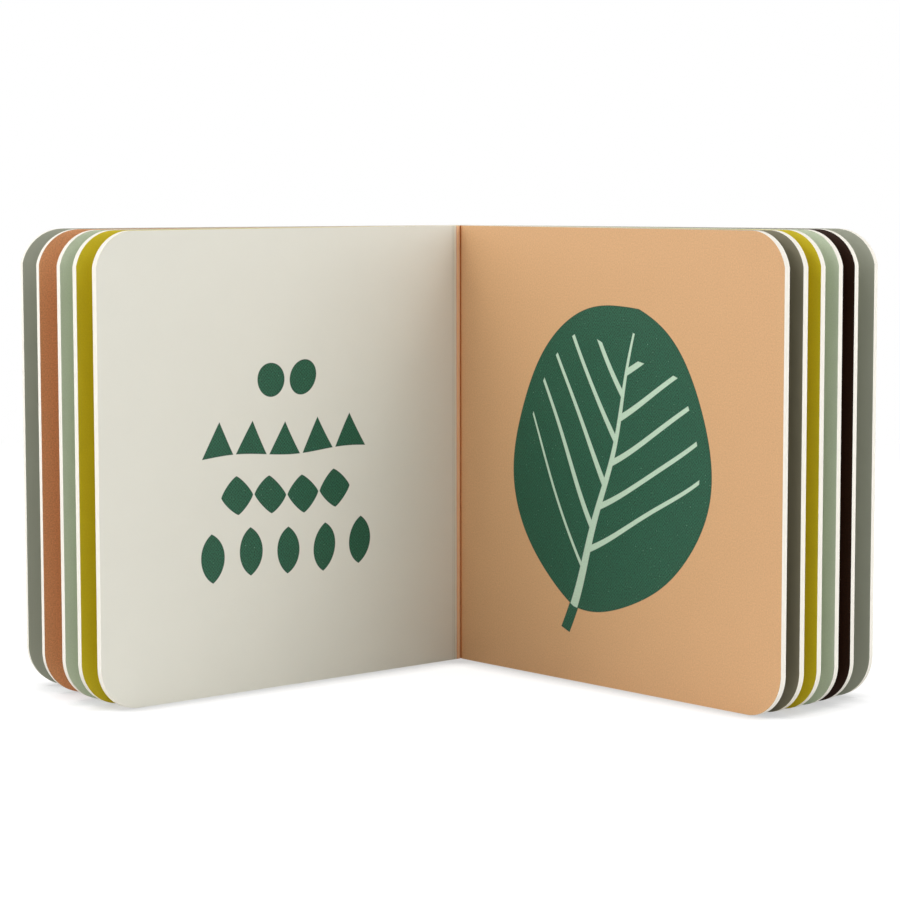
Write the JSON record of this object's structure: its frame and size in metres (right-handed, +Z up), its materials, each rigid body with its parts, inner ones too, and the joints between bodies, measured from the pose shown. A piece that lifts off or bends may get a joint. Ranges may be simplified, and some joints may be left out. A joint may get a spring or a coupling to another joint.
{
  "type": "board book",
  "caption": "Square children's board book with thick die-cut leaves, standing open in a V on its tail edges; both covers swing on their creases.",
  "frame": {"origin": "centre of the outline of the standing book seen from above, at the height of its tail edges", "axes": "+Z up from the tail to the head, the V of the open spread opens towards -Y, front cover on the -X side, spine towards +Y"},
  "size_m": [0.2738, 0.1296, 0.15],
  "materials": {
    "page_board": "matt laminated print on white board, cut edges bare",
    "cover_board": "matt laminated grey-green on white board, cut edges bare",
    "spine_card": "matt laminated grey-green card"
  },
  "bodies": {
    "pages": {"page_block": "page_board", "spine": "spine_card"},
    "front_cover": {"front_cover": "cover_board"},
    "back_cover": {"back_cover": "cover_board"}
  },
  "joints": [
    {"name": "front_cover_crease", "type": "hinge", "parent": "pages", "child": "front_cover", "pos_m": [-0.00008, 0.05747, 0.075], "axis": [0, 0, -1], "range_deg": [-4.5, 110]},
    {"name": "back_cover_crease", "type": "hinge", "parent": "pages", "child": "back_cover", "pos_m": [0.01417, 0.05807, 0.075], "axis": [0, 0, 1], "range_deg": [-3.3, 120]}
  ]
}
